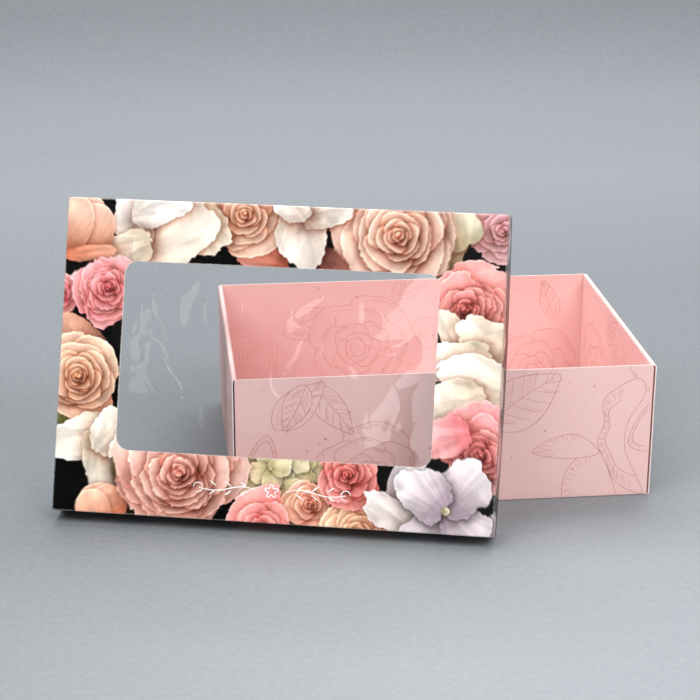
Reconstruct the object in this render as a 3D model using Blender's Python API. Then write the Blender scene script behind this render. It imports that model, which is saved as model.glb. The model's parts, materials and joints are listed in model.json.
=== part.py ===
"""Folding card gift box for flowers, in metres, Z up.

A tray with roll-over end walls stands on the table. Its window lid is off and
leans back on the tray's front left corner. Each panel between two creases is a
solid of its own, and a crease is a gap of GAP between two of them.
"""

import math

import bmesh
import bpy
from mathutils import Euler, Vector

MM = 0.001

# Board and film
CARD = 0.5 * MM
FILM = 0.2 * MM
GAP = 0.3 * MM

# Tray, outside sizes: length along X, width along Y, height along Z
TRAY_LENGTH = 210 * MM
TRAY_WIDTH = 150 * MM
TRAY_HEIGHT = 70 * MM
TRAY_END = 2.5 * MM
TRAY_SLIT = 0.7 * MM
TRAY_FLAP = 56 * MM
TRAY_FLAP_SLANT = 8 * MM

# Lid, outside sizes in its own frame: length along X, depth from face to rim
# along Y, width up the face along Z
LID_LENGTH = 215 * MM
LID_WIDTH = 153 * MM
LID_DEPTH = 20 * MM
LID_END = 2.1 * MM
LID_FLAP = 42 * MM
LID_FLAP_SLANT = 3 * MM

# Window in the lid's face, by its margins, and the film behind it
WINDOW_LEFT = 30.2 * MM
WINDOW_RIGHT = 31.2 * MM
WINDOW_TOP = 30.0 * MM
WINDOW_BOTTOM = 31.2 * MM
WINDOW_RADIUS = 6.5 * MM
FILM_OVERLAP = 9 * MM
FILM_RADIUS = 2 * MM

# Roll-over fold along the top of an end wall, and what hangs under it
FOLD_RADIUS = 1.0 * MM
FOLD_LEG = 0.1 * MM
FLAP_DROP = 1.5 * MM
PANEL_SIDE_GAP = 0.5 * MM

# How the lid stands: the middle of its lower rim, its lean and its turn
LID_PLACE = Vector((-85.3 * MM, -86.77 * MM, 0))
LID_LEAN = math.radians(20.93)
LID_TURN = math.radians(-14.41)

ARC_STEPS = 6
ROUND_SEGMENTS = 12
CUTTER_REACH = 5 * MM
EMPTY_SIZE = 20 * MM

TRAY_OUTSIDE = (0.90, 0.56, 0.55, 1)
TRAY_INSIDE = (0.88, 0.46, 0.43, 1)
LID_PRINT = (0.46, 0.22, 0.20, 1)
LID_BOARD = (0.82, 0.80, 0.77, 1)
FILM_CLEAR = (0.80, 0.86, 0.88, 1)
CARD_ROUGHNESS = 0.55
FILM_ROUGHNESS = 0.08

HALF = 0.5
QUARTER_TURN = math.radians(90)

# Turns that stand a flat outline up: its X and Y become X and Z, or Y and Z
FACING_FRONT = Euler((QUARTER_TURN, 0, 0))
FACING_SIDE = Euler((QUARTER_TURN, 0, QUARTER_TURN))
LEFT_AND_RIGHT = ((-1, "left"), (1, "right"))


def clear_scene():
    for old in list(bpy.data.objects):
        bpy.data.objects.remove(old, do_unlink=True)


def new_collection(name, shown):
    made = bpy.data.collections.new(name)
    bpy.context.scene.collection.children.link(made)
    made.hide_render = not shown
    return made


def new_material(name, colour, roughness):
    made = bpy.data.materials.new(name)
    made.use_nodes = True
    shader = made.node_tree.nodes["Principled BSDF"]
    shader.inputs["Base Color"].default_value = colour
    shader.inputs["Roughness"].default_value = roughness
    made.diffuse_color = colour
    return made


def add_object(name, data, colour, frame=None, roughness=CARD_ROUGHNESS, group="Flower_box"):
    """Links a mesh or curve as a part with a material of its own."""
    data.materials.append(new_material(name, colour, roughness))
    made = bpy.data.objects.new(name, data)
    made.parent = frame
    bpy.data.collections[group].objects.link(made)
    return made


def plate_mesh(name, low, high, pivot, radius=0):
    """A box between two corners, in any order, with its origin at pivot.

    A radius rounds its four edges along Y."""
    span = Vector([abs(b - a) for a, b in zip(low, high)])
    shape = bmesh.new()
    bmesh.ops.create_cube(shape, size=1)
    bmesh.ops.scale(shape, verts=shape.verts, vec=span)
    middle = (Vector(low) + Vector(high)) * HALF
    bmesh.ops.translate(shape, verts=shape.verts, vec=middle - pivot)
    if radius:
        bmesh.ops.bevel(
            shape,
            geom=[edge for edge in shape.edges if is_along_y(edge)],
            offset=radius,
            segments=ROUND_SEGMENTS,
            profile=HALF,
            affect="EDGES",
        )
    mesh = bpy.data.meshes.new(name)
    shape.to_mesh(mesh)
    shape.free()
    return mesh


def is_along_y(edge):
    span = edge.verts[0].co - edge.verts[1].co
    return abs(span.y) > max(abs(span.x), abs(span.z))


def add_plate(name, low, high, colour, frame=None, pivot=Vector()):
    made = add_object(name, plate_mesh(name, low, high, pivot), colour, frame)
    made.location = pivot
    return made


def add_outline(name, outline, thickness, colour, place, turn, frame=None):
    """A flat outline of some thickness, centred on place."""
    curve = bpy.data.curves.new(name, "CURVE")
    curve.dimensions = "2D"
    curve.fill_mode = "BOTH"
    curve.extrude = thickness * HALF
    spline = curve.splines.new("POLY")
    spline.points.add(len(outline) - 1)
    for point, (x, y) in zip(spline.points, outline):
        point.co = (x, y, 0, 1)
    spline.use_cyclic_u = True
    made = add_object(name, curve, colour, frame)
    made.location = place
    made.rotation_euler = turn
    return made


def arc(centre, radius, start, end):
    """Points of a quarter arc, from angle start to angle end."""
    angles = [start + (end - start) * step / ARC_STEPS for step in range(ARC_STEPS + 1)]
    return [(centre[0] + radius * math.cos(a), centre[1] + radius * math.sin(a)) for a in angles]


def fold_outline(width):
    """The bent strip over the edge of an end wall, seen from its end, with its top at 0."""
    side = width * HALF
    turn = side - FOLD_RADIUS
    foot = -FOLD_RADIUS - FOLD_LEG
    inner = FOLD_RADIUS - CARD
    return [
        (side, foot),
        *arc((turn, -FOLD_RADIUS), FOLD_RADIUS, 0, QUARTER_TURN),
        *arc((-turn, -FOLD_RADIUS), FOLD_RADIUS, QUARTER_TURN, 2 * QUARTER_TURN),
        (-side, foot),
        (-side + CARD, foot),
        *arc((-turn, -FOLD_RADIUS), inner, 2 * QUARTER_TURN, QUARTER_TURN),
        *arc((turn, -FOLD_RADIUS), inner, QUARTER_TURN, 0),
        (side - CARD, foot),
    ]


def add_tray():
    length = TRAY_LENGTH * HALF
    width = TRAY_WIDTH * HALF
    wall_foot = CARD + GAP
    panel_top = TRAY_HEIGHT - FOLD_RADIUS - FOLD_LEG - GAP
    long_wall = length - CARD - TRAY_SLIT
    between = width - CARD - GAP
    panel_reach = width - CARD - PANEL_SIDE_GAP
    flap_top = TRAY_HEIGHT - FLAP_DROP

    add_plate("tray_bottom", (-length, -width, 0), (length, width, CARD), TRAY_INSIDE)
    for end, place in ((-1, "front"), (1, "back")):
        add_plate(
            f"tray_{place}_wall",
            (-long_wall, end * width, wall_foot),
            (long_wall, end * (width - CARD), TRAY_HEIGHT),
            TRAY_OUTSIDE,
        )

    for side, word in LEFT_AND_RIGHT:
        add_plate(
            f"tray_{word}_outer_panel",
            (side * length, -width, wall_foot),
            (side * (length - CARD), width, panel_top),
            TRAY_OUTSIDE,
        )
        add_outline(
            f"tray_{word}_top_fold",
            fold_outline(TRAY_END),
            2 * between,
            TRAY_OUTSIDE,
            (side * (length - TRAY_END * HALF), 0, TRAY_HEIGHT),
            FACING_FRONT,
        )
        face = side * (length - TRAY_END)
        add_plate(
            f"tray_{word}_inner_panel",
            (face, -panel_reach, wall_foot),
            (face + side * CARD, panel_reach, panel_top),
            TRAY_INSIDE,
            pivot=Vector((face, 0, panel_top + GAP * HALF)),
        )
        for end, place in ((-1, "front"), (1, "back")):
            root, tip = end * between, end * (between - TRAY_FLAP)
            add_outline(
                f"tray_{word}_{place}_flap",
                [
                    (root, wall_foot),
                    (tip, wall_foot + TRAY_FLAP_SLANT),
                    (tip, flap_top - TRAY_FLAP_SLANT),
                    (root, flap_top),
                ],
                CARD,
                TRAY_INSIDE,
                (side * (long_wall - CARD * HALF), 0, 0),
                FACING_SIDE,
            )


def add_lid():
    """The lid in its own frame: the face looks along -Y and the rim is at Y = 0."""
    frame = bpy.data.objects.new("lid_frame", None)
    frame.empty_display_size = EMPTY_SIZE
    frame.location = LID_PLACE
    frame.rotation_euler = Euler((-LID_LEAN, 0, LID_TURN))
    bpy.data.collections["Flower_box"].objects.link(frame)

    length = LID_LENGTH * HALF
    middle = LID_WIDTH * HALF
    face_back = -LID_DEPTH + CARD
    wall_start = face_back + GAP
    panel_end = -FOLD_RADIUS - FOLD_LEG - GAP
    long_wall = length - CARD - GAP
    between = middle - CARD - GAP
    side_margin = CARD + PANEL_SIDE_GAP

    add_lid_face(frame, face_back)
    for low, word in ((0, "lower"), (LID_WIDTH - CARD, "upper")):
        add_plate(
            f"lid_{word}_wall",
            (-long_wall, wall_start, low),
            (long_wall, 0, low + CARD),
            LID_PRINT,
            frame,
        )

    for side, word in LEFT_AND_RIGHT:
        add_plate(
            f"lid_{word}_outer_panel",
            (side * length, wall_start, 0),
            (side * (length - CARD), panel_end, LID_WIDTH),
            LID_PRINT,
            frame,
        )
        add_outline(
            f"lid_{word}_rim_fold",
            fold_outline(LID_END),
            2 * between,
            LID_PRINT,
            (side * (length - LID_END * HALF), 0, middle),
            Euler(),
            frame,
        )
        face = side * (length - LID_END)
        add_plate(
            f"lid_{word}_inner_panel",
            (face, wall_start, side_margin),
            (face + side * CARD, panel_end, LID_WIDTH - side_margin),
            LID_BOARD,
            frame,
            pivot=Vector((face, panel_end + GAP * HALF, middle)),
        )
        for end, place in ((-1, "lower"), (1, "upper")):
            root, tip = end * between, end * (between - LID_FLAP)
            add_outline(
                f"lid_{word}_{place}_flap",
                [
                    (wall_start, root),
                    (wall_start + LID_FLAP_SLANT, tip),
                    (-FLAP_DROP - LID_FLAP_SLANT, tip),
                    (-FLAP_DROP, root),
                ],
                CARD,
                LID_BOARD,
                (side * (long_wall - CARD * HALF), 0, middle),
                FACING_SIDE,
                frame,
            )


def add_lid_face(frame, face_back):
    """The lid's face with its window cut out, and the film behind the window."""
    length = LID_LENGTH * HALF
    left, right = -length + WINDOW_LEFT, length - WINDOW_RIGHT
    bottom, top = WINDOW_BOTTOM, LID_WIDTH - WINDOW_TOP
    low = (left, -LID_DEPTH - CUTTER_REACH, bottom)
    high = (right, face_back + CUTTER_REACH, top)
    cutter = add_object(
        "window_cutter",
        plate_mesh("window_cutter", low, high, Vector(), WINDOW_RADIUS),
        LID_BOARD,
        frame,
        group="Cutters",
    )
    cutter.hide_render = True
    cutter.display_type = "WIRE"

    low = (-length, -LID_DEPTH, 0)
    high = (length, face_back, LID_WIDTH)
    face = add_plate("lid_face", low, high, LID_PRINT, frame)
    window = face.modifiers.new("window", "BOOLEAN")
    window.operation = "DIFFERENCE"
    window.solver = "EXACT"
    window.object = cutter

    film_front = face_back + GAP
    low = (left - FILM_OVERLAP, film_front, bottom - FILM_OVERLAP)
    high = (right + FILM_OVERLAP, film_front + FILM, top + FILM_OVERLAP)
    add_object(
        "lid_window_film",
        plate_mesh("lid_window_film", low, high, Vector(), FILM_RADIUS),
        FILM_CLEAR,
        frame,
        FILM_ROUGHNESS,
    )


clear_scene()
new_collection("Flower_box", True)
new_collection("Cutters", False)
add_tray()
add_lid()
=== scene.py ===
import json
import math

import bpy
import numpy as np
from mathutils import Matrix, Vector


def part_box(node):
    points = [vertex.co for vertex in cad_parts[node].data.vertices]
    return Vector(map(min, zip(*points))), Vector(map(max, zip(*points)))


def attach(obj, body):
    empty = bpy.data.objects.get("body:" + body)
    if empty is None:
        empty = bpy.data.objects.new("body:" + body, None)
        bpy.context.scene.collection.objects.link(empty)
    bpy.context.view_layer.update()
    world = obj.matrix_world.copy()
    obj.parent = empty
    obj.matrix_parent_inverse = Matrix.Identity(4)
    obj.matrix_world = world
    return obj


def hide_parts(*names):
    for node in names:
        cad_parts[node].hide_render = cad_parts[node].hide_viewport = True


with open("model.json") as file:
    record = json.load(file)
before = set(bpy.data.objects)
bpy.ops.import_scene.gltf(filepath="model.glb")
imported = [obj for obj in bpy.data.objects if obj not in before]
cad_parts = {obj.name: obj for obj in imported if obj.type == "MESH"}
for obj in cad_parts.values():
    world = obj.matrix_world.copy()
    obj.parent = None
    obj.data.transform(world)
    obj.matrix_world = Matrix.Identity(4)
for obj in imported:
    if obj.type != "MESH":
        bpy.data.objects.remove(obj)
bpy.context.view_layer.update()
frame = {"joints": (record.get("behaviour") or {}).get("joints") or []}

MM = 0.001
TAU = 2 * math.pi
GOLDEN = math.radians(137.508)

# ---------------------------------------------------------------- sizes, mm
CARD = 0.5
CREASE = 0.8  # outer radius of a crease
SLIT = 0.7  # between an end wall and the flap behind it
INK_LIFT = 0.03
BEND_STEPS = 8
# how much lighter a crease is coloured: wear, and a painted highlight where the crease catches light
CREASE_WEAR_AND_HIGHLIGHT = 0.4
FINE_GRID = 0.9  # mesh step where the print is carried

TRAY_FOLD = 1.2  # outer radius of the fold along an end wall's top
TRAY_END = 2.5
TRAY_INNER_DROP = 1.4
TRAY_FLAP, TRAY_FLAP_DROP, TRAY_FLAP_SLANT = 55.2, 1.5, 8
LID_FOLD = 1.05
LID_END = 2.1
LID_FLAP = 40.5
LID_INNER_SIDE = 21  # how far past the face the blank's inner end panel lies
FLAP_START = 1.3  # length of the bend that leads into a flap
PANEL_INSET = 1.0
TRAY_X, TRAY_Y, TRAY_Z = [round(v / MM, 2) for v in (
    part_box("tray_bottom")[1].x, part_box("tray_bottom")[1].y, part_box("tray_front_wall")[1].z)]
LID_X, LID_Z, LID_DEPTH = 107.5, 153.0, 20.0
WINDOW = (-77.3, 76.3, 31.2, 123.0)  # left, right, bottom, top
WINDOW_RADIUS = 6.5
PRINT_WIDTH, PRINT_HEIGHT = 2 * LID_X, LID_Z
PRINT_BLEED = 22.0
PRINT_SCALE = 4


# ---------------------------------------------------------------- lid frame
HINGE_DEPTH = -1.25


def lid_frame():
    """The lid's own frame, from its two hinges: X along it, Y from face to rim, Z up the face."""
    hinges = {j["name"]: j for j in frame["joints"]}
    left = Vector(hinges["lid_left_panel_swing"]["pos_m"])
    right = Vector(hinges["lid_right_panel_swing"]["pos_m"])
    along = (right - left).normalized()
    up = Vector(hinges["lid_left_panel_swing"]["axis"]).normalized()
    deep = up.cross(along)
    turn = Matrix((along, deep, up)).transposed()
    place = (left + right) / 2 - turn @ Vector((0, HINGE_DEPTH * MM, LID_Z / 2 * MM))
    return Matrix.Translation(place) @ turn.to_4x4()


LID = lid_frame()


# ---------------------------------------------------------------- noise
def ripple(x, y, seed, size):
    """Smooth noise, about -1 to 1, with bumps of about size."""
    rng = np.random.default_rng(seed)
    total = np.zeros(np.broadcast(x, y).shape)
    for _ in range(6):
        angle = rng.uniform(0, TAU)
        k = TAU / size * rng.uniform(0.55, 1.5)
        phase = rng.uniform(0, TAU)
        total = total + np.sin((x * math.cos(angle) + y * math.sin(angle)) * k + phase + 0.7 * total)
    return total / 2.6


def linear(colour):
    """sRGB 0-255 to scene linear."""
    c = np.asarray(colour, float) / 255
    return np.where(c <= 0.04045, c / 12.92, ((c + 0.055) / 1.055) ** 2.4)


# ---------------------------------------------------------------- node materials
class Nodes:
    """A material being wired up."""

    def __init__(self, name):
        self.material = bpy.data.materials.new(name)
        self.material.use_nodes = True
        self.tree = self.material.node_tree
        self.tree.nodes.clear()
        self.out = self.tree.nodes.new("ShaderNodeOutputMaterial")
        self.where = self.tree.nodes.new("ShaderNodeTexCoord").outputs["Object"]

    def add(self, kind, inputs=(), **settings):
        node = self.tree.nodes.new("ShaderNode" + kind)
        for key, value in settings.items():
            setattr(node, key, value)
        for key, value in dict(inputs).items():
            self.put(node.inputs[key], value)
        return node

    def put(self, socket, value):
        if isinstance(value, bpy.types.NodeSocket):
            self.tree.links.new(value, socket)
        else:
            socket.default_value = value

    def noise(self, scale, detail=3.0, rough=0.5):
        return self.add("TexNoise", {"Vector": self.where, "Scale": scale, "Detail": detail,
                                     "Roughness": rough}).outputs["Fac"]

    def spread(self, value, low, high, to_low, to_high):
        made = self.add("MapRange", {"Value": value, "From Min": low, "From Max": high,
                                     "To Min": to_low, "To Max": to_high})
        return made.outputs[0]

    def mix(self, factor, a, b, blend="MIX"):
        node = self.add("Mix", data_type="RGBA", blend_type=blend)
        self.put(node.inputs[0], factor)
        self.put(node.inputs[6], a)
        self.put(node.inputs[7], b)
        return node.outputs[2]

    def attribute(self, name):
        return self.add("Attribute", attribute_name=name)

    def bump(self, height, distance, strength=1.0, after=None):
        inputs = {"Height": height, "Distance": distance, "Strength": strength}
        if after is not None:
            inputs["Normal"] = after
        return self.add("Bump", inputs).outputs[0]

    def finish(self, shader):
        self.put(self.out.inputs["Surface"], shader)
        return self.material


def rgba(colour):
    return (*linear(colour), 1)


FIBRE_TINT = (120, 70, 66)
MOTTLE_TINT = (255, 246, 240)
CARD_IOR = 1.47
COATED = {"Coat Weight": 0.02, "Coat Roughness": 0.12, "Specular IOR Level": 0.14}


def card_material(name, colour, wear_and_highlight_colour, fibre=0.05, roughness=0.52, printed=False, bump=0.00002,
                  mottled=0.05):
    """Card with paper fibre, faint mottling, creases coloured lighter as wear and as a painted highlight,
    and a soft sheen.

    A printed one takes its colour from the mesh and has a gloss coat."""
    m = Nodes(name)
    fine = m.noise(2600, 4, 0.6)
    mottle = m.noise(90, 3, 0.5)
    base = m.attribute("print").outputs["Color"] if printed else rgba(colour)
    dark = m.mix(m.spread(fine, 0.3, 0.7, fibre, 0.0), base, rgba(FIBRE_TINT), "MULTIPLY")
    tone = m.mix(m.spread(mottle, 0.35, 0.65, 0.0, mottled), dark, rgba(MOTTLE_TINT))
    # lighter along creases and edges: wear, and a painted highlight where they catch light
    wear_and_highlight_here = m.attribute("wear").outputs["Fac"]
    patchy = m.spread(m.noise(700, 4, 0.65), 0.38, 0.62, 0.25, 1.0)
    amount = m.add("Math", {0: wear_and_highlight_here, 1: patchy}, operation="MULTIPLY").outputs[0]
    tone = m.mix(amount, tone, rgba(wear_and_highlight_colour))
    rough = m.spread(m.noise(450, 3, 0.5), 0.3, 0.7, roughness - 0.06, roughness + 0.07)
    relief = m.bump(m.noise(1500, 5, 0.6), bump)
    relief = m.bump(m.noise(60, 2, 0.5), 0.0006, 0.35, relief)
    inputs = {"Base Color": tone, "Roughness": rough, "Normal": relief, "IOR": CARD_IOR}
    if printed:
        inputs.update(COATED)
    return m.finish(m.add("BsdfPrincipled", inputs).outputs[0])


TRAY_OUTSIDE = card_material("tray_outside", (254, 210, 206), (255, 228, 224))
# the tray's own pink coloured darker for its inside faces: painted shade
TRAY_INSIDE_SHADED = card_material("tray_inside", (238, 193, 189), (255, 222, 216))
RAW_EDGE = card_material("raw_edge", (255, 243, 239), (255, 250, 248), fibre=0.08, roughness=0.8)
BOARD = card_material("board_white", (236, 233, 228), (246, 244, 240), fibre=0.08, roughness=0.7)
PRINT = card_material("floral_print", (0, 0, 0), (214, 206, 200), fibre=0.0, roughness=0.22,
                      printed=True, bump=0.000004, mottled=0.0)
INK = card_material("pink_ink", (226, 152, 147), (226, 152, 147), fibre=0.12)
INK_INSIDE = card_material("pink_ink_inside", (222, 156, 150), (222, 156, 150), fibre=0.12)
WHITE_INK = card_material("white_ink", (250, 247, 244), (250, 247, 244), fibre=0.02, roughness=0.35)


FILM_MIRROR = 0.05
FILM_TINT = (0.985, 0.988, 0.99, 1)
GRAZING_POWER = 5.0


def film_material():
    """Clear film: sees through, with a mirror that grows towards the edge of view."""
    m = Nodes("clear_film")
    haze = m.spread(m.noise(60, 3, 0.5), 0.35, 0.65, 0.01, 0.06)
    shine = m.add("BsdfGlossy", {"Color": (1, 1, 1, 1), "Roughness": haze})
    clear = m.add("BsdfTransparent", {"Color": FILM_TINT})
    facing = m.add("LayerWeight", {"Blend": 0.5}).outputs["Facing"]
    grazing = m.add("Math", {0: facing, 1: GRAZING_POWER}, operation="POWER").outputs[0]
    amount = m.spread(grazing, 0.0, 1.0, FILM_MIRROR, 1.0)
    both = m.add("MixShader", {0: amount, 1: clear.outputs[0], 2: shine.outputs[0]})
    return m.finish(both.outputs[0])


FILM = film_material()


# ---------------------------------------------------------------- card shells
def fold_path(start, heading, steps, grid=4.0):
    """A folded card's outer line, drawn with the outside on its right.

    Each step is (length, 0) or (outer radius, left turn in degrees). Returns the points, their
    outward normals, the length so far and how far each point is in a bend."""
    at, angle = np.array(start, float), math.radians(heading)
    points, normals, lengths, bends = [at.copy()], [angle], [0.0], [0.0]
    for size, turn in steps:
        if turn == 0:
            count = max(1, math.ceil(size / grid))
            ahead = np.array((math.cos(angle), math.sin(angle)))
            for i in range(1, count + 1):
                points.append(at + ahead * size * i / count)
                normals.append(angle)
                lengths.append(lengths[-1] + size / count)
                bends.append(0.0)
            at = points[-1]
            continue
        centre = at + size * np.array((-math.sin(angle), math.cos(angle)))
        sweep = math.radians(turn)
        for i in range(1, BEND_STEPS + 1):
            b = angle + sweep * i / BEND_STEPS
            points.append(centre - size * np.array((-math.sin(b), math.cos(b))))
            normals.append(b)
            lengths.append(lengths[-1] + size * sweep / BEND_STEPS)
            bends.append(math.sin(math.pi * i / BEND_STEPS))
        at, angle = points[-1], angle + sweep
    turned = np.array(normals)
    return (np.array(points), np.stack((np.sin(turned), -np.cos(turned)), 1),
            np.array(lengths), np.array(bends))


UNPRINTED = 0.8


class Shell:
    """One card piece: sheets of real thickness with an outside, an inside and cut edges."""

    def __init__(self, thickness=CARD):
        self.thickness = thickness
        self.points, self.faces, self.kinds = [], [], []
        self.wear, self.tint = [], []

    def sheet(self, outer, normal, wear, tint=None):
        """outer and normal are grids of points; tint, if any, a grid of colours for the outside."""
        rows, columns = outer.shape[:2]
        across = np.cross(outer[1, 0] - outer[0, 0], outer[0, 1] - outer[0, 0])
        flip = float(across @ normal[0, 0]) < 0
        base = len(self.points)
        inner = outer - normal * self.thickness
        self.points.extend(outer.reshape(-1, 3))
        self.points.extend(inner.reshape(-1, 3))
        self.wear.extend(np.broadcast_to(wear, (rows, columns)).reshape(-1))
        self.wear.extend(np.broadcast_to(wear / 2, (rows, columns)).reshape(-1))
        if tint is None:
            tint = np.full((rows, columns, 3), UNPRINTED)
        self.tint.extend(tint.reshape(-1, 3))
        self.tint.extend(tint.reshape(-1, 3))
        number = np.arange(rows * columns).reshape(rows, columns) + base
        back = number + rows * columns

        def quads(a, b, c, d, kind, turned):
            found = np.stack((a, b, c, d), -1).reshape(-1, 4)
            if turned:
                found = found[:, ::-1]
            self.faces.extend(found.tolist())
            self.kinds.extend([kind] * len(found))

        quads(number[:-1, :-1], number[1:, :-1], number[1:, 1:], number[:-1, 1:], 0, flip)
        quads(back[:-1, :-1], back[1:, :-1], back[1:, 1:], back[:-1, 1:], 1, not flip)
        for front, rear, turned in ((number[:, 0], back[:, 0], flip),
                                    (number[:, -1], back[:, -1], not flip),
                                    (number[0], back[0], not flip),
                                    (number[-1], back[-1], flip)):
            quads(front[:-1], rear[:-1], rear[1:], front[1:], 2, not turned)

    def extrude(self, path, low, high, place, grid=4.0, tint=None):
        """Draws a fold path out from low to high (numbers or one per path point).

        place turns (path x, path y, along) into a point."""
        line, normal, lengths, bends = path
        low = np.broadcast_to(low, (len(line),))
        high = np.broadcast_to(high, (len(line),))
        count = max(2, math.ceil(float((high - low).max()) / grid) + 1)
        along = low[:, None] + (high - low)[:, None] * np.linspace(0, 1, count)
        shape = along.shape
        outer = place(np.broadcast_to(line[:, :1], shape), np.broadcast_to(line[:, 1:], shape),
                      along)
        origin = place(np.zeros(1), np.zeros(1), np.zeros(1))
        turned = place(normal[:, 0], normal[:, 1], np.zeros(len(line))) - origin
        normals = np.broadcast_to(turned[:, None], outer.shape)
        # creases are coloured lighter: wear, and a painted highlight where they catch light
        wear = np.broadcast_to(bends[:, None] * CREASE_WEAR_AND_HIGHLIGHT, shape)
        colours = None
        if tint is not None:
            colours = tint(np.broadcast_to(lengths[:, None], shape), along)
        self.sheet(outer, normals, wear, colours)

    def build(self, name, materials, matrix=None, smooth=40):
        mesh = bpy.data.meshes.new(name)
        points = np.array(self.points) * MM
        mesh.from_pydata(points.tolist(), [], self.faces)
        mesh.polygons.foreach_set("material_index", self.kinds)
        for material in materials:
            mesh.materials.append(material)
        wear = mesh.attributes.new("wear", "FLOAT", "POINT")
        wear.data.foreach_set("value", np.array(self.wear, np.float32))
        tint = mesh.attributes.new("print", "FLOAT_COLOR", "POINT")
        colours = np.ones((len(points), 4), np.float32)
        colours[:, :3] = np.array(self.tint)
        tint.data.foreach_set("color", colours.ravel())
        mesh.validate()
        return finish_piece(name, mesh, matrix, smooth)


def link_object(name, data):
    made = bpy.data.objects.new(name, data)
    bpy.context.scene.collection.objects.link(made)
    return made


def finish_piece(name, mesh, matrix=None, smooth=40):
    if matrix is not None:
        mesh.transform(matrix)
    mesh.polygons.foreach_set("use_smooth", [True] * len(mesh.polygons))
    mesh.set_sharp_from_angle(angle=math.radians(smooth))
    mesh.update()
    return link_object(name, mesh)


def stack(*parts):
    return np.stack(np.broadcast_arrays(*parts), -1).astype(float)


TRAY_SKIN = (TRAY_OUTSIDE, TRAY_INSIDE_SHADED, RAW_EDGE)
TRAY_SKIN_INSIDE = (TRAY_INSIDE_SHADED, TRAY_OUTSIDE, RAW_EDGE)
LID_SKIN = (PRINT, BOARD, RAW_EDGE)


def slot_ride(piece, body):
    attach(piece, body)
    return piece


def make_tray():
    """The tray's card, each piece in the place of the CAD panels it stands for."""
    x, y, z = TRAY_X, TRAY_Y, TRAY_Z
    floor = Shell()
    grid_x, grid_y = np.meshgrid(np.linspace(-x + CREASE, x - CREASE, 40),
                                 np.linspace(-y + CREASE, y - CREASE, 30), indexing="ij")
    up = stack(0 * grid_x, 0 * grid_x, 1 + 0 * grid_x)
    floor.sheet(stack(grid_x, grid_y, 0 * grid_x + CARD), up, np.zeros(grid_x.shape))
    made = slot_ride(floor.build("tray_floor_card", TRAY_SKIN_INSIDE), "tray")
    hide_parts("tray_bottom")

    reach = x - CARD - SLIT - CREASE
    for sign, end in ((-1, "front"), (1, "back")):
        wall = Shell()
        line = fold_path((y - CREASE, 0), 0, [(CREASE, 90), (z - CREASE, 0)])
        wall.extrude(line, -reach, reach, lambda a, b, c, s=sign: stack(c, s * a, b))
        for side in (-1, 1):
            turn = fold_path((y, reach), 90, [(CREASE, 90), (TRAY_FLAP, 0)])
            length = turn[2]
            slant = np.clip((length - FLAP_START) / (TRAY_FLAP - 1.2), 0, 1)
            low = CREASE + 6 * slant
            high = np.where(length < FLAP_START, z, z - TRAY_FLAP_DROP - TRAY_FLAP_SLANT * slant)
            wall.extrude(turn, low, high,
                         lambda a, b, c, s=sign, t=side: stack(t * b, s * a, c))
        made = wall.build(f"tray_{end}_card", TRAY_SKIN)
        slot_ride(made, "tray")
        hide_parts(f"tray_{end}_wall", f"tray_left_{end}_flap", f"tray_right_{end}_flap")

    for sign, side in ((-1, "left"), (1, "right")):

        def place(a, b, c, s=sign):
            return stack(s * a, c, b)

        panel = Shell()
        line = fold_path((x - CREASE, 0), 0, [(CREASE, 90), (z - TRAY_FOLD - CREASE, 0),
                                              (TRAY_FOLD, 90), (0.1, 0), (TRAY_FOLD, 90)])
        over = np.clip((line[2] - line[2].max() + 3.8) / 1.5, 0, 1)
        width = y - 0.1 - 0.6 * over
        panel.extrude(line, -width, width, place)
        made = slot_ride(panel.build(f"tray_{side}_end_card", TRAY_SKIN), "tray")
        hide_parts(f"tray_{side}_outer_panel", f"tray_{side}_top_fold")
        inner = Shell()
        line = fold_path((x - TRAY_END, z - TRAY_INNER_DROP), 270,
                         [(z - TRAY_INNER_DROP - CREASE, 0)])
        inner.extrude(line, -y + PANEL_INSET, y - PANEL_INSET, place)
        made = inner.build(f"tray_{side}_inner_card", TRAY_SKIN)
        slot_ride(made, f"tray_{side}_panel")
        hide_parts(f"tray_{side}_inner_panel")


# ---------------------------------------------------------------- line art
def inside(outline, points):
    """True for each point within a closed outline."""
    x, y = points[:, :1], points[:, 1:2]
    x0, y0 = outline[:, 0], outline[:, 1]
    x1, y1 = np.roll(x0, -1), np.roll(y0, -1)
    span = np.where(np.abs(y1 - y0) < 1e-9, 1e-9, y1 - y0)
    crossed = ((y0 > y) != (y1 > y)) & (x < (x1 - x0) * (y - y0) / span + x0)
    return crossed.sum(1) % 2 == 1


def resample(points, step):
    points = np.asarray(points, float)
    gaps = np.hypot(*np.diff(points, axis=0).T)
    along = np.concatenate(([0], np.cumsum(gaps)))
    count = max(2, int(along[-1] / step) + 1)
    at = np.linspace(0, along[-1], count)
    return np.stack([np.interp(at, along, points[:, i]) for i in (0, 1)], 1)


def curve_through(points, closed=False, steps=10):
    """A Catmull-Rom curve."""
    p = np.asarray(points, float)
    p = np.concatenate((p[-1:], p, p[:2])) if closed else np.concatenate((p[:1], p, p[-1:]))
    t = np.linspace(0, 1, steps, endpoint=False)[:, None]
    made = [0.5 * (2 * b + (c - a) * t + (2 * a - 5 * b + 4 * c - d) * t ** 2
                   + (3 * b - a - 3 * c + d) * t ** 3)
            for a, b, c, d in zip(p, p[1:], p[2:], p[3:])]
    return np.concatenate(made + ([made[0][:1]] if closed else [p[-2:-1]]))


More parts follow.
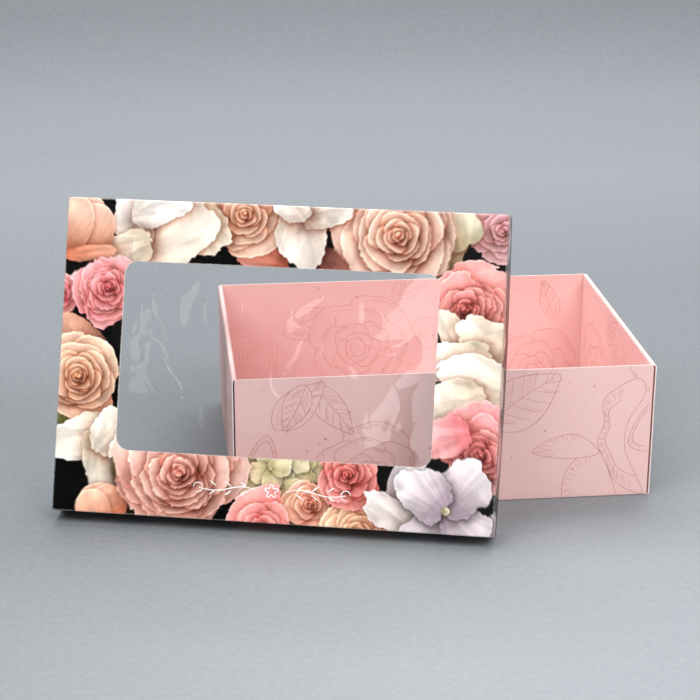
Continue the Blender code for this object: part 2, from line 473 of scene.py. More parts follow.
class Drawing:
    """Line art on one panel, in mm from its lower left corner. What comes first hides what follows."""

    def __init__(self, width, height, seed, margin=0.6):
        self.width, self.height, self.margin = width, height, margin
        self.rng = np.random.default_rng(seed)
        self.masks, self.strokes, self.specks = [], [], []

    def line(self, points, weight=0.34, taper=0.0):
        points = resample(points, 0.55)
        width = np.full(len(points), weight)
        t = np.linspace(0, 1, len(points))
        if taper:
            width = weight * (1 - taper * np.abs(2 * t - 1) ** 2)
        width = width * (1 + 0.18 * ripple(points[:, 0], points[:, 1], 5, 9))
        seen = ((points[:, 0] > self.margin) & (points[:, 0] < self.width - self.margin)
                & (points[:, 1] > self.margin) & (points[:, 1] < self.height - self.margin))
        for mask in self.masks:
            seen &= ~inside(mask, points)
        start = None
        for i, here in enumerate([*seen, False]):
            if here and start is None:
                start = i
            elif not here and start is not None:
                if i - start > 1:
                    self.strokes.append((points[start:i], width[start:i]))
                start = None

    def hide(self, outline):
        self.masks.append(np.asarray(outline))

    def petal(self, points, band=0.0, hatch=0):
        """A closed petal with an inner line and short strokes that run in from its edge."""
        outline = curve_through(points, closed=True)
        middle = outline.mean(0)
        start = len(outline) // 6
        if band:
            inner = middle + (outline - middle) * (1 - band)
            self.line(inner[start:-start * 2])
        for i in np.linspace(start, len(outline) * 0.62, hatch).astype(int):
            edge = outline[i]
            reach = self.rng.uniform(0.25, 0.5) if not band else band * self.rng.uniform(0.6, 1.0)
            begin = edge + (middle - edge) * (0.02 if not band else band * 0.12)
            self.line([begin, edge + (middle - edge) * reach], 0.24, 0.8)
        self.line(outline)
        self.hide(outline)

    def leaf(self, x, y, length, width, turn, teeth=0.5):
        """A toothed leaf from its stalk end, with a midrib, side veins and hatching."""
        c, s = math.cos(turn), math.sin(turn)

        def put(u, v):
            u, v = np.asarray(u, float), np.asarray(v, float)
            return np.stack((x + u * c - v * s, y + u * s + v * c), -1)

        t = np.linspace(0, 1, 90)
        swell = np.sin(math.pi * t ** 0.85) ** 0.8 * (1 - 0.25 * t)
        saw = teeth * ((t * 17) % 1) * np.sin(math.pi * t)
        edges = []
        for sign in (-1, 1):
            edge = put(length * t, sign * (width / 2 * swell + saw))
            edges.append(edge)
            self.line(edge, 0.36)
        bow = 0.06 * width * np.sin(math.pi * t)
        self.line(put(length * t * 0.97, bow), 0.36, 0.7)
        for i, base in enumerate(np.linspace(0.08, 0.8, 6)):
            for sign in (-1, 1):
                reach = 0.4 * width * np.sin(math.pi * (base + 0.1) ** 0.85) ** 0.8
                k = np.linspace(0, 1, 14)
                vein_u = length * (base + 0.2 * k ** 1.3)
                vein_v = sign * reach * k + 0.06 * width * math.sin(math.pi * base)
                self.line(put(vein_u, vein_v), 0.26, 0.6)
                if (sign < 0) == (i % 2 == 0):
                    for step in np.linspace(0.25, 0.85, 6):
                        u = length * (base + 0.2 * step ** 1.3) + 0.6
                        v = sign * reach * step
                        self.line(put([u, u + length * 0.075], [v, v * 0.94]), 0.2, 0.8)
        self.hide(np.concatenate((edges[0], edges[1][::-1])))

    def rose(self, x, y, size, turn=0.0, petals=15):
        """An open rose: petals drawn from the heart outwards, each hidden by those inside it."""
        for k in range(petals):
            s = (k + 1) / petals
            angle = turn + k * GOLDEN
            reach = size * (0.10 + 0.90 * s ** 1.1)
            broad = size * (0.12 + 0.42 * s)
            deep = size * (0.10 + 0.30 * s)
            middle = np.array((x, y)) + (reach - deep) * np.array((math.cos(angle), math.sin(angle)))
            phi = np.linspace(0, TAU, 60)
            wave = 1 + 0.05 * np.sin(3 * phi + k) + 0.04 * np.sin(5 * phi + 2 * k)
            u, v = deep * np.cos(phi) * wave, broad * np.sin(phi) * wave
            outline = middle + np.stack((u * math.cos(angle) - v * math.sin(angle),
                                         u * math.sin(angle) + v * math.cos(angle)), 1)
            self.line(outline)
            if k > 3:
                rim = middle + (outline - middle) * 0.86
                self.line(rim[50:] if k % 2 else rim[:10], 0.28, 0.5)
                for i in range(3 + k // 2):
                    a = (k * 13 + i * 2) % 16 - 8
                    edge = outline[a % 60]
                    self.line([edge + (middle - edge) * 0.05, edge + (middle - edge) * 0.3], 0.2, 0.8)
            self.hide(outline)

    def rings(self, x, y, broad, high, count, seed):
        """Wavering rings, one inside the other, open on one side."""
        for k in range(count):
            s = (k + 1) / count
            phi = np.linspace(0.3 * k, 0.3 * k + TAU * 0.86, 70)
            wave = 1 + 0.13 * np.sin(2 * phi + seed + 0.3 * k) + 0.07 * np.sin(5 * phi + k)
            ring = (x + broad * s * wave * np.cos(phi), y + high * s * wave * np.sin(phi))
            self.line(np.stack(ring, 1), 0.24, 0.5)

    def speckle(self, count):
        for _ in range(count):
            place = self.rng.uniform((2, 2), (self.width - 2, self.height - 2))
            size = self.rng.choice((0.26, 0.38, 0.55, 0.8), p=(0.4, 0.3, 0.2, 0.1))
            turn = self.rng.uniform(0, TAU)
            squeeze = self.rng.uniform(0.35, 0.95)
            phi = np.linspace(0, TAU, 9, endpoint=False)
            u, v = size * np.cos(phi), size * squeeze * np.sin(phi)
            self.specks.append(place + np.stack((u * math.cos(turn) - v * math.sin(turn),
                                                 u * math.sin(turn) + v * math.cos(turn)), 1))

    def geometry(self, origin, across, up):
        """(points, faces) of the art as thin ribbons just off a panel whose corner is origin."""
        origin, across, up = (np.array(v, float) for v in (origin, across, up))
        off = np.cross(across, up) * INK_LIFT
        points, faces = [], []
        for line, width in self.strokes:
            ahead = np.gradient(line, axis=0)
            ahead /= np.maximum(np.hypot(*ahead.T)[:, None], 1e-9)
            side = np.stack((-ahead[:, 1], ahead[:, 0]), 1) * width[:, None] / 2
            base = len(points)
            count = len(line)
            points.extend(line - side)
            points.extend(line + side)
            faces.extend([base + i, base + i + 1, base + count + i + 1, base + count + i]
                         for i in range(count - 1))
        for speck in self.specks:
            base = len(points)
            points.extend(speck)
            faces.append([base + i for i in range(len(speck))])
        flat = np.array(points)
        return origin + flat[:, :1] * across + flat[:, 1:] * up + off, faces


def ink_piece(name, drawings, material, matrix=None):
    """One mesh from several (drawing, origin, across, up)."""
    points, faces = [], []
    for drawing, origin, across, up in drawings:
        found, rings = drawing.geometry(origin, across, up)
        base = sum(len(p) for p in points)
        points.append(found)
        faces.extend([[base + i for i in face] for face in rings])
    mesh = bpy.data.meshes.new(name)
    mesh.from_pydata((np.concatenate(points) * MM).tolist(), [], faces)
    mesh.materials.append(material)
    return finish_piece(name, mesh, matrix)


LONG_ART = 206  # the length of a long wall's drawing


def front_art():
    d = Drawing(LONG_ART, 70, 3)
    d.petal([(203, 55), (200, 63), (191, 60), (182, 52), (183, 40), (180, 30), (185, 18), (191, 7), (204, 1),
             (199, 14), (194, 26), (195, 40)], band=0.3, hatch=40)
    d.petal([(181, 25), (170, 34), (158, 33), (147, 26), (160, 22), (174, 22)], hatch=12)
    d.petal([(190, -6), (166, -8), (163, 8), (168, 20), (180, 26), (187, 12)], hatch=12)
    d.petal([(214, 60), (204, 48), (198, 38), (196, 28), (204, 24), (214, 26)], band=0.2, hatch=10)
    d.petal([(190, 82), (197, 64), (202, 56), (214, 62), (212, 80)], band=0.14, hatch=8)
    d.leaf(124, 41, 44, 30, 0.62)
    d.leaf(34, 66, 26, 15, -2.0, 0.2)
    d.leaf(18, 44, 34, 20, 0.75, 0.25)
    d.leaf(36, 66, 34, 16, -0.9, 0.2)
    d.rose(64, 16, 30, 0.6, 17)
    d.leaf(96, 30, 28, 15, 0.3, 0.2)
    d.petal([(6, -4), (2, 16), (8, 34), (16, 40), (20, 22), (18, 4)], band=0.15, hatch=14)
    d.speckle(95)
    return d


def long_art(seed, layout):
    d = Drawing(LONG_ART, 70, seed)
    for kind, *numbers in layout:
        getattr(d, kind)(*numbers)
    d.speckle(70)
    return d


def make_tray_art():
    x, y, z = TRAY_X, TRAY_Y, TRAY_Z
    side = LONG_ART / 2
    back_inside = long_art(11, (("rose", 76, 30, 34, 0.2, 17), ("leaf", 34, 40, 34, 20, 0.4, 0.3),
                                ("leaf", 108, 44, 34, 20, -0.5, 0.2), ("rings", 140, 58, 20, 15, 6, 1),
                                ("leaf", 96, 60, 26, 14, 0.6, 0.2), ("rose", 178, 12, 30, 1.1, 15),
                                ("rings", 16, 26, 16, 24, 7, 2), ("leaf", 190, 44, 24, 12, 1.9, 0.2)))
    front_inside = long_art(12, (("rose", 140, 34, 32, 0.9, 16), ("leaf", 96, 40, 30, 20, 2.9, 0.3),
                                 ("rings", 40, 40, 20, 26, 8, 3), ("leaf", 172, 30, 28, 16, -0.3, 0.3)))
    back_outside = long_art(13, (("rose", 50, 32, 33, 0.5, 17), ("leaf", 86, 38, 36, 24, 0.3, 0.5),
                                 ("leaf", 28, 50, 30, 18, 2.4, 0.3), ("rose", 164, 20, 30, 1.7, 15),
                                 ("leaf", 140, 44, 30, 18, 2.6, 0.3), ("rings", 116, 12, 16, 18, 6, 2)))
    drawings = [(front_art(), (-side, -y, 0), (1, 0, 0), (0, 0, 1)),
                (back_outside, (side, y, 0), (-1, 0, 0), (0, 0, 1))]
    for sign, seed in ((-1, 21), (1, 22)):
        d = Drawing(148, 68, seed)
        d.rose(70 + 6 * sign, 26, 33, seed, 17)
        d.leaf(106, 34, 34, 22, 0.4, 0.5)
        d.leaf(40, 44, 32, 20, 2.5, 0.4)
        d.rings(20, 16, 15, 18, 6, seed)
        d.speckle(55)
        corner = (sign * x, sign * (1 - y), 0)
        drawings.append((d, corner, (0, sign, 0), (0, 0, 1)))
    made = ink_piece("tray_outside_line_art", drawings, INK)
    slot_ride(made, "tray")

    floor = Drawing(204, 144, 31)
    floor.rose(60, 66, 46, 0.3, 21)
    floor.rose(150, 84, 40, 1.3, 19)
    floor.leaf(100, 40, 46, 28, -0.5, 0.5)
    floor.leaf(96, 108, 40, 26, 0.9, 0.5)
    floor.leaf(20, 100, 40, 24, 2.0, 0.4)
    floor.rings(176, 26, 24, 20, 8, 4)
    floor.speckle(160)
    drawings = [(floor, (-102, -72, CARD), (1, 0, 0), (0, 1, 0)),
                (back_inside, (-side, y - CARD, 0), (1, 0, 0), (0, 0, 1)),
                (front_inside, (side, -y + CARD, 0), (-1, 0, 0), (0, 0, 1))]
    made = ink_piece("tray_inside_line_art", drawings, INK_INSIDE)
    slot_ride(made, "tray")

    for sign, name, seed in ((-1, "left", 41), (1, "right", 42)):
        d = Drawing(146, z - TRAY_INNER_DROP - CREASE, seed)
        d.rings(84, 34, 15, 30, 8, seed)
        d.rings(110, 30, 22, 34, 7, seed + 2)
        d.rose(38, 24, 30, 0.4, 15)
        d.leaf(60, 50, 28, 16, 0.9, 0.3)
        d.leaf(124, 14, 30, 16, 1.9, 0.3)
        d.speckle(50)
        near = x - TRAY_END
        corner = (sign * near, sign * (y - 1), CREASE)
        made = ink_piece(f"tray_{name}_inner_line_art", [(d, corner, (0, -sign, 0), (0, 0, 1))],
                         INK_INSIDE)
        slot_ride(made, f"tray_{name}_panel")


# ---------------------------------------------------------------- floral print
LIGHT = np.array((-0.55, 0.83))
WARM = np.array((0.62, 0.86, 0.95))  # what a shadow takes of red, green and blue
COLD = np.array((0.9, 0.92, 0.92))
BRIGHTEST = 252


def shade(colour):
    return np.asarray(colour, float) / 255


class Print:
    """The lid's print as colours over its blank, in mm from the face's lower left corner, y up."""

    def __init__(self):
        self.xs = np.arange(-PRINT_BLEED, PRINT_WIDTH + PRINT_BLEED, 1 / PRINT_SCALE)
        self.ys = np.arange(-PRINT_BLEED, PRINT_HEIGHT + PRINT_BLEED, 1 / PRINT_SCALE)
        x, y = np.meshgrid(self.xs, self.ys)
        cloud = 0.5 + 0.5 * ripple(x, y, 71, 34)
        self.colour = shade((5, 4, 5)) + cloud[..., None] ** 3 * shade((7, 9, 7))

    def patch(self, x, y, reach):
        columns = slice(*np.searchsorted(self.xs, (x - reach, x + reach)))
        rows = slice(*np.searchsorted(self.ys, (y - reach, y + reach)))
        return (rows, columns), self.xs[None, columns] - x, self.ys[rows, None] - y

    def petal(self, x, y, along, across, turn, colour, deep, rng, frill=0.05, rim=0.12, shadow=0.6,
              cast=2.2, veins=0.02, square=2.2, gamma=0.8, blush=None, point=0.0, warm=WARM, folds=0.0,
              ragged=0.0):
        """One petal pointing along turn: shadow on what lies below, pale curled edge, deep foot."""

        def mottle(size):
            return ripple(dx, dy, int(rng.integers(1e6)), size)

        cells, dx, dy = self.patch(x, y, max(along, across) * 1.3 + 3 * cast)
        if not self.colour[cells].size:
            return
        c, s = math.cos(turn), math.sin(turn)
        u, v = (dx * c + dy * s) / along, (-dx * s + dy * c) / across
        r = (np.abs(u) ** square + np.abs(v) ** square) ** (1 / square)
        phi = np.arctan2(v, u)
        p1, p2, p3 = rng.uniform(0, TAU, 3)
        n1, n2 = rng.integers(2, 5), rng.integers(5, 9)
        edge = 1 + frill * (0.6 * np.sin(phi * n1 + p1) + 0.3 * np.sin(phi * n2 + p2)
                            + 0.12 * np.sin(phi * (n2 + 8) + p3))
        edge = edge + point * np.exp(-((phi - 0.3 * math.sin(p1)) / 0.38) ** 2)
        if ragged:
            edge = edge + ragged * mottle(0.3 * min(along, across) + 1.5)
        gap = (r - edge) * min(along, across)
        hit = np.clip(0.5 - gap * PRINT_SCALE, 0, 1)[..., None]
        lit = (dx * LIGHT[0] + dy * LIGHT[1]) / (np.hypot(dx, dy) + 1e-6)
        dark = shadow * np.exp(-np.clip(gap, 0, None) / cast) * (0.75 - 0.3 * lit)
        below = self.colour[cells] * (1 - dark[..., None] * warm)
        out = np.clip((u + 0.5) / 1.4, 0, 1)[..., None] ** gamma
        body = shade(deep) + (shade(colour) - shade(deep)) * out
        if blush is not None:
            soft = np.clip(0.5 + 0.8 * mottle(along * 1.3), 0, 1)[..., None]
            body = body + (shade(blush) - body) * soft * 0.45
        depth = np.clip(-gap, 0, None)
        curl = rim * np.exp(-((depth - 0.25) / 0.45) ** 2) * (0.8 + 0.4 * lit)
        fold = -0.35 * rim * np.exp(-((depth - 1.6) / 1.1) ** 2)
        foot = np.arctan2(v, u + 1.35)
        streak = veins * np.sin(foot * rng.uniform(22, 34) + 2.2 * np.sin(foot * 9 + p3) + 1.5 * u)
        bend = 0.03 + 0.045 * mottle(1.1 * along + 3)
        if folds:
            crease = np.sin(foot * rng.uniform(6, 9) + p2 + 0.8 * mottle(along))
            fine = np.sin(foot * rng.uniform(15, 21) + p1 + 1.3 * u)
            fade = np.clip(1.15 - 0.6 * np.abs(u), 0, 1)
            streak = streak + folds * (np.tanh(2.4 * crease) + 0.35 * fine) * fade
        body = body * (1 + (curl + fold + streak + bend + 0.05 * lit * r)[..., None])
        self.colour[cells] = below * (1 - hit) + body * hit

    def rose(self, x, y, size, colours, seed, petals=26, frill=0.035, ruffle=0.0):
        """An open rose from above: broad petals outside, laid from the outside in, tight ones within."""
        rng = np.random.default_rng(seed)
        start, lean = rng.uniform(0, TAU, 2)
        pale, middle, deep = (np.asarray(v, float) for v in colours)
        for k in range(petals):
            s = (1 - k / petals) ** 1.3
            inner = 1 - s
            reach = size * (0.045 + 0.955 * s) * rng.uniform(0.9, 1.05)
            across = reach * rng.uniform(0.66, 0.92) * (1 - 0.3 * ruffle * rng.uniform(0, 1))
            along = reach * rng.uniform(0.5, 0.66)
            angle = start + k * GOLDEN + rng.uniform(-0.4, 0.4) * (1 + 2 * ruffle)
            tip = pale + (middle - pale) * inner ** 1.5 * 0.66
            root = middle + (deep - middle) * inner * 0.9
            away = (reach - along) * (1 + ruffle * rng.uniform(-0.3, 0.5))
            drift = 0.14 * size * inner * (1 - 0.35 * inner)
            self.petal(x + away * math.cos(angle) + drift * math.cos(lean),
                       y + away * math.sin(angle) + drift * math.sin(lean), along, across,
                       angle + rng.uniform(-0.35, 0.35),
                       np.clip(tip * rng.uniform(0.965, 1.02), 0, BRIGHTEST), root, rng,
                       frill=frill * (1 + ruffle * 1.5), rim=0.12 * (0.75 + 0.5 * s),
                       cast=0.4 + size * 0.042 * (0.3 + s), shadow=0.34 + 0.5 * inner,
                       gamma=0.62, point=0.13 * s * rng.uniform(-0.2, 1), veins=0.012,
                       square=rng.uniform(1.9, 2.9), folds=0.03 * s, ragged=0.02 + 0.025 * ruffle)

    def floret(self, x, y, size, colour, deep, seed, broad=0.6):
        """A hydrangea floret: four veined petals round a small eye."""
        rng = np.random.default_rng(seed)
        start = rng.uniform(0, TAU)
        for k in range(4):
            angle = start + TAU * k / 4 + rng.uniform(-0.12, 0.12)
            self.petal(x + 0.52 * size * math.cos(angle), y + 0.52 * size * math.sin(angle),
                       0.54 * size, broad * size * rng.uniform(0.74, 1.0), angle, colour, deep, rng,
                       frill=0.16, rim=0.06, veins=0.03, folds=0.03, ragged=0.03, cast=0.07 * size,
                       gamma=0.55, square=2.4, point=0.1, warm=COLD)
        self.petal(x, y, 0.075 * size, 0.075 * size, 0, EYE, EYE_SHADOW, rng, cast=0.5)

    def cluster(self, x, y, size, colour, deep, seed, count):
        rng = np.random.default_rng(seed)
        for k in range(count):
            angle, away = k * GOLDEN + seed, size * 0.8 * math.sqrt(1 - k / count)
            tint = np.asarray(colour) * rng.uniform(0.95, 1.04)
            self.floret(x + away * math.cos(angle), y + away * math.sin(angle),
                        size * rng.uniform(0.55, 0.68), np.clip(tint, 0, BRIGHTEST), deep,
                        seed * 31 + k)

    def loose(self, x, y, along, across, turn, colour, deep, seed):
        """A big loose petal with soft folds and a broken edge."""
        rng = np.random.default_rng(seed)
        blush = np.asarray(deep) * 0.35 + np.asarray(colour) * 0.65
        self.petal(x, y, along, across, math.radians(turn), colour, deep, rng, frill=0.12, rim=0.05,
                   cast=1.9, veins=0.014, gamma=0.5, blush=blush, square=2.5, point=0.08, folds=0.06,
                   ragged=0.03)

    def leaf(self, x, y, along, across, turn, colour, seed):
        rng = np.random.default_rng(seed)
        self.petal(x, y, along, across, math.radians(turn), colour, np.asarray(colour) * 0.6, rng,
                   rim=0.1, veins=0.05, cast=1.6, square=1.6, point=0.2, warm=COLD)

    def bud(self, x, y, size, turn, colour, deep, seed):
        """A closed bud, its petals wrapped round it."""
        rng = np.random.default_rng(seed)
        a = math.radians(turn)
        for side, scale in ((0.0, 1.0), (-0.42, 0.8), (0.30, 0.86)):
            sx, sy = -math.sin(a) * side * size, math.cos(a) * side * size
            self.petal(x + sx, y + sy, size * scale, size * 0.82 * scale, a - side * 0.4, colour, deep,
                       rng, frill=0.03, rim=0.09, cast=1.0, gamma=0.6, shadow=0.45)

    def at(self, x, y):
        """The print's linear colour at points of the blank."""
        column = np.clip((x - self.xs[0]) * PRINT_SCALE, 0, len(self.xs) - 1.001)
        row = np.clip((y - self.ys[0]) * PRINT_SCALE, 0, len(self.ys) - 1.001)
        i, j = row.astype(int), column.astype(int)
        a, b = (row - i)[..., None], (column - j)[..., None]
        c = self.colour
        found = ((c[i, j] * (1 - b) + c[i, j + 1] * b) * (1 - a)
                 + (c[i + 1, j] * (1 - b) + c[i + 1, j + 1] * b) * a)
        return linear(np.clip(found, 0, 1) * 255)


PEACH = ((254, 232, 219), (250, 208, 187), (214, 140, 110))
BLUSH = ((253, 217, 206), (246, 190, 177), (202, 118, 108))
CORAL = ((252, 182, 176), (240, 142, 140), (178, 72, 74))
PINK = ((253, 190, 192), (240, 148, 154), (180, 74, 86))
CREAM = (250, 240, 229)
IVORY = (247, 237, 222)
SHELL = (214, 194, 174)
MAUVE = (230, 221, 222)
SAGE = (166, 168, 108)
EYE, EYE_SHADOW = (232, 228, 206), (150, 140, 110)
SATURATION = 1.12
DEEPENING = 0.12  # how much the darkest tones lose


def paint_print():
    """The florals, from those that lie lowest to those on top."""
    p = Print()
    for x, y, along, across, turn, colour in (
            (24, 128, 10, 4, 60, (96, 80, 48)), (104, 130, 10, 5, -20, (70, 62, 50)),
            (30, 92, 12, 5, 80, (24, 24, 20)), (132, 12, 12, 5, 10, (60, 46, 40)),
            (10, 42, 12, 6, 20, SAGE), (22, 47, 9, 5, 150, (160, 162, 104)),
            (4, 44, 8, 5, 100, (140, 142, 90)), (186, 84, 10, 4, 90, (40, 34, 30)),
            (126, 126, 8, 4, 30, (90, 60, 48)), (36, 6, 9, 3, 120, (60, 44, 34))):
        p.leaf(x, y, along, across, turn, colour, int(x * 7 + y))
    # top row
    p.rose(212, 147, 19, ((238, 204, 208), (226, 178, 186), (176, 112, 124)), 5, 16, 0.05, ruffle=0.5)
    p.loose(186, 136, 13, 10, 75, (226, 218, 190), (178, 168, 130), 6)
    p.loose(191, 148, 13, 10, 110, (243, 236, 220), (198, 186, 156), 7)
    p.rose(160, 141, 34, PEACH, 8, 30)
    p.loose(98, 127, 13, 7, 165, (226, 164, 146), (164, 96, 78), 10)
    p.rose(88, 146, 21, ((253, 226, 208), (246, 202, 176), (202, 132, 98)), 9, 20)
    p.loose(130, 127, 8, 6, -40, (150, 100, 90), (90, 52, 46), 12)
    p.loose(116, 140, 17, 12, -80, (246, 236, 228), (206, 188, 172), 11)
    p.loose(128, 151, 12, 8, 20, (240, 230, 222), (200, 184, 170), 13)
    p.loose(110, 153, 10, 7, 140, (246, 238, 230), (206, 190, 178), 63)
    p.loose(68, 142, 15, 11, -60, (246, 236, 220), (208, 188, 164), 14)
    p.loose(52, 135, 25, 14, 38, CREAM, (216, 200, 182), 15)
    p.loose(34, 143, 15, 10, 95, (251, 248, 245), (210, 200, 192), 16)
    p.loose(46, 150, 15, 9, 20, (248, 244, 240), (212, 202, 194), 18)
    p.loose(30, 128, 14, 9, 205, (247, 240, 228), (206, 190, 170), 17)
    p.bud(6, 139, 17, 75, (243, 208, 190), (200, 140, 114), 19)
    p.loose(12, 126, 12, 4, 8, (236, 182, 158), (184, 112, 88), 20)
    # left side
    p.rose(-2, 106, 11, (PINK[0], (222, 96, 114), (150, 44, 62)), 21, 14)
    p.loose(10, 84, 15, 9, 150, (214, 172, 152), (150, 100, 84), 23)
    p.rose(22, 108, 18, PINK, 22, 24, 0.05, ruffle=0.8)
    p.rose(11, 65, 22, ((254, 224, 202), (247, 200, 170), (206, 134, 96)), 24, 26)
    p.loose(14, 36, 17, 11, 195, (250, 244, 234), (212, 200, 182), 25)
    p.loose(24, 22, 18, 9, -75, (247, 241, 230), (206, 194, 172), 26)
    p.loose(26, 40, 12, 8, 60, CREAM, (216, 206, 190), 64)
    p.leaf(33, 26, 11, 4, 80, (186, 182, 126), 27)
    p.bud(24, 3, 12, 115, (244, 204, 182), (202, 134, 106), 28)
    # bottom row
    p.loose(98, 22, 15, 10, 30, (236, 216, 190), (190, 160, 128), 30)
    p.cluster(112, 27, 16, (234, 222, 192), (190, 180, 140), 29, 6)
    p.rose(126, 10, 13, ((246, 202, 182), (232, 162, 142), (174, 96, 80)), 31, 16, ruffle=0.4)
    p.rose(152, -1, 19, ((250, 222, 198), (238, 194, 162), (194, 128, 92)), 33, 20)
    p.rose(145, 26, 18, CORAL, 32, 22, 0.05, ruffle=0.6)
    p.rose(60, 24, 35, BLUSH, 34, 32, 0.04, ruffle=0.35)
    p.rose(105, -3, 17, CORAL, 35, 20, ruffle=0.5)
    # right side
    p.rose(198, 106, 22, ((252, 190, 186), (238, 148, 142), (166, 70, 70)), 36, 28, 0.05, ruffle=0.8)
    p.loose(190, 97, 10, 6, 120, IVORY, SHELL, 65)
    p.loose(208, 93, 15, 10, 160, IVORY, SHELL, 38)
    p.loose(194, 82, 17, 10, 185, (249, 241, 230), (214, 198, 178), 37)
    p.loose(206, 72, 20, 13, 170, (252, 246, 236), (220, 206, 188), 39)
    p.loose(193, 63, 16, 10, 195, (248, 238, 224), (212, 192, 172), 40)
    p.rose(207, 40, 22, ((252, 190, 190), (236, 144, 144), (166, 72, 76)), 41, 28, 0.05, ruffle=0.7)
    p.loose(190, 46, 13, 9, 200, (252, 198, 196), (222, 132, 136), 42)
    p.loose(172, 24, 15, 8, 70, (236, 228, 226), (190, 176, 178), 44)
    p.loose(166, 8, 14, 8, 150, (236, 226, 222), (190, 176, 172), 45)
    p.floret(214, -4, 16, MAUVE, (176, 160, 166), 46)
    p.floret(192, 11, 25, MAUVE, (176, 160, 168), 43, broad=0.52)
    x, y = np.meshgrid(p.xs, p.ys)
    p.colour *= (1 + 0.012 * ripple(x, y, 72, 2.9))[..., None]
    grey = p.colour.mean(-1, keepdims=True)
    p.colour = np.clip(grey + (p.colour - grey) * SATURATION, 0, 1)
    p.colour = p.colour * (1 - DEEPENING + DEEPENING * np.clip(p.colour / 0.9, 0, 1))
    return p


# ---------------------------------------------------------------- lid
def loop_even(points, sides):
    """The same closed line cut at equal steps along each side; sides holds (first, last, count)."""
    made = []
    for first, last, count in sides:
        part = points[first:last + 1]
        gaps = np.hypot(*np.diff(part, axis=0).T)
        along = np.concatenate(([0], np.cumsum(gaps)))
        at = np.linspace(0, along[-1], count, endpoint=False)
        made.append(np.stack([np.interp(at, along, part[:, i]) for i in (0, 1)], 1))
    return np.concatenate(made)


LONG_COUNT, SHORT_COUNT, RINGS = 440, 312, 62
ARC_POINTS = 17


def face_loops():
    """The window's edge and the face's edge, point for point, from the lower left corner round."""
    left, right, low, high = WINDOW
    r = WINDOW_RADIUS
    counts = (LONG_COUNT, SHORT_COUNT) * 2
    outline = []
    for cx, cz, start in ((left + r, low + r, 180), (right - r, low + r, 270),
                          (right - r, high - r, 0), (left + r, high - r, 90)):
        angles = np.radians(np.linspace(start, start + 90, ARC_POINTS))
        outline.append(np.stack((cx + r * np.cos(angles), cz + r * np.sin(angles)), 1))
    ring = np.roll(np.concatenate(outline), -(ARC_POINTS // 2), axis=0)
    ring = np.concatenate((ring, ring[:1]))
    inner = loop_even(ring, [(ARC_POINTS * i, ARC_POINTS * (i + 1), n) for i, n in enumerate(counts)])
    x, z0, z1 = LID_X - CREASE, CREASE, LID_Z - CREASE
    corners = np.array(((-x, z0), (x, z0), (x, z1), (-x, z1), (-x, z0)), float)
    return inner, loop_even(corners, [(i, i + 1, n) for i, n in enumerate(counts)])


def make_lid_face(print_):
    """The face as one closed board: fine printed front, plain back, cut window edge."""
    inner, outer = face_loops()
    count = len(inner)
    jitter = 0.05 * ripple(inner[:, 0], inner[:, 1], 91, 3.0)
    centre = np.array(((WINDOW[0] + WINDOW[1]) / 2, (WINDOW[2] + WINDOW[3]) / 2))
    away = inner - centre
    inner = inner + away / np.hypot(*away.T)[:, None] * jitter[:, None]
    t = np.linspace(0, 1, RINGS)[:, None, None]
    flat = inner * (1 - t) + outer * t
    front = stack(flat[..., 0], -LID_DEPTH + 0 * flat[..., 0], flat[..., 1])
    ends = flat[[0, -1]]
    back = stack(ends[..., 0], -LID_DEPTH + CARD + 0 * ends[..., 0], ends[..., 1])
    points = np.concatenate((front.reshape(-1, 3), back.reshape(-1, 3)))
    number = np.arange(RINGS * count).reshape(RINGS, count)
    rear = np.arange(2 * count).reshape(2, count) + RINGS * count

    def band(a, b):
        """Quads between two closed rows, a inside b, facing the front."""
        return np.stack((a, np.roll(a, -1, -1), np.roll(b, -1, -1), b), -1).reshape(-1, 4)

    groups = ((band(number[:-1], number[1:])[:, ::-1], 0), (band(rear[0], rear[1]), 1),
              (band(rear[0], number[0])[:, ::-1], 2), (band(number[-1], rear[1])[:, ::-1], 1))
    faces = np.concatenate([g for g, _ in groups])
    kinds = np.concatenate([np.full(len(g), kind) for g, kind in groups])
    mesh = bpy.data.meshes.new("lid_face_card")
    mesh.from_pydata((points * MM).tolist(), [], faces.tolist())
    mesh.polygons.foreach_set("material_index", kinds)
    for material in LID_SKIN:
        mesh.materials.append(material)
    colours = np.ones((len(points), 4), np.float32)
    colours[:, :3] = print_.at(points[:, 0] + LID_X, points[:, 2])
    mesh.attributes.new("print", "FLOAT_COLOR", "POINT").data.foreach_set("color", colours.ravel())
    wear = np.zeros(len(points), np.float32)
    # the print is coloured lighter along the window's edge
    wear[:count] = 0.9
    mesh.attributes.new("wear", "FLOAT", "POINT").data.foreach_set("value", wear)
    made = slot_ride(finish_piece("lid_face_card", mesh, LID), "lid")
    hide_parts("lid_face")


def flare(side, depth, height):
    """How far an end wall leans out at a depth from the rim: card springs back from a right angle."""
    spring = 1.5 if side > 0 else 0.6
    bow = 0.3 + 0.7 * np.sin(math.pi * np.clip(height / LID_Z, 0, 1))
    return spring * bow * (1 - depth / LID_DEPTH)


